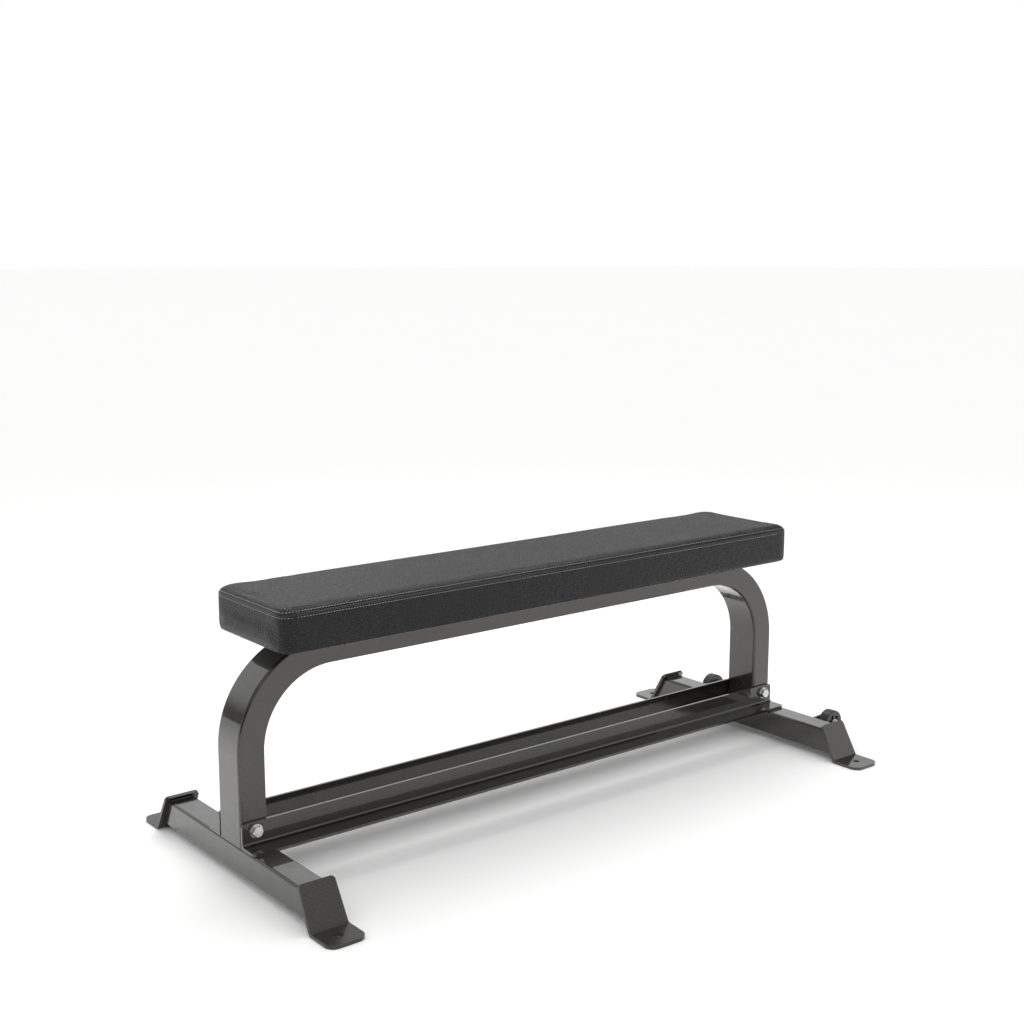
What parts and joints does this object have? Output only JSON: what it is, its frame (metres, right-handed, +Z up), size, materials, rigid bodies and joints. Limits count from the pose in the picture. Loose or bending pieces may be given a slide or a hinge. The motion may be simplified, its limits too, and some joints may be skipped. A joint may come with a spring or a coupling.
{
  "type": "flat weight bench",
  "caption": "Flat weight bench: an upholstered pad on a bent rectangular tube arch, with braced cross feet, floor tabs and small transport wheels at one end.",
  "frame": {"origin": "centre of the four floor anchor holes, on the floor", "axes": "+X along the bench towards the foot with the wheels, +Y across it to the left, +Z up"},
  "size_m": [1.393, 0.671, 0.4826],
  "materials": {
    "frame_paint": "gloss gunmetal powder coat",
    "zinc": "bright zinc plate",
    "vinyl": "black grained upholstery vinyl",
    "foam": "open cell foam",
    "plywood": "raw plywood",
    "dust_cloth": "black non-woven cloth",
    "wheel_rubber": "smooth rubber",
    "wheel_plastic": "moulded plastic"
  },
  "bodies": {
    "bench": {"arch_frame": "frame_paint", "front_cross_foot": "frame_paint", "rear_cross_foot": "frame_paint", "front_right_foot_plate": "frame_paint", "front_left_foot_plate": "frame_paint", "rear_right_foot_plate": "frame_paint", "rear_left_foot_plate": "frame_paint", "right_brace_angle": "frame_paint", "left_brace_angle": "frame_paint", "brace_bolts": "zinc", "brace_washers": "zinc", "brace_lock_nuts": "zinc", "pad_cover": "vinyl", "pad_foam": "foam", "pad_board": "plywood", "pad_dust_cover": "dust_cloth", "pad_t_nuts": "zinc", "pad_bolts": "zinc", "pad_bolt_washers": "zinc", "right_wheel_bracket": "frame_paint", "left_wheel_bracket": "frame_paint", "wheel_bushes": "zinc", "wheel_axle_bolts": "zinc", "wheel_washers": "zinc", "wheel_lock_nuts": "zinc"},
    "right_wheel": {"right_wheel_tyre": "wheel_rubber", "right_wheel_hub": "wheel_plastic"},
    "left_wheel": {"left_wheel_tyre": "wheel_rubber", "left_wheel_hub": "wheel_plastic"}
  },
  "joints": [
    {"name": "right_wheel_spin", "type": "hinge", "parent": "bench", "child": "right_wheel", "pos_m": [0.7017, -0.175, 0.0441], "axis": [0, 1, 0], "continuous": true},
    {"name": "left_wheel_spin", "type": "hinge", "parent": "bench", "child": "left_wheel", "pos_m": [0.7017, 0.175, 0.0441], "axis": [0, 1, 0], "continuous": true}
  ]
}
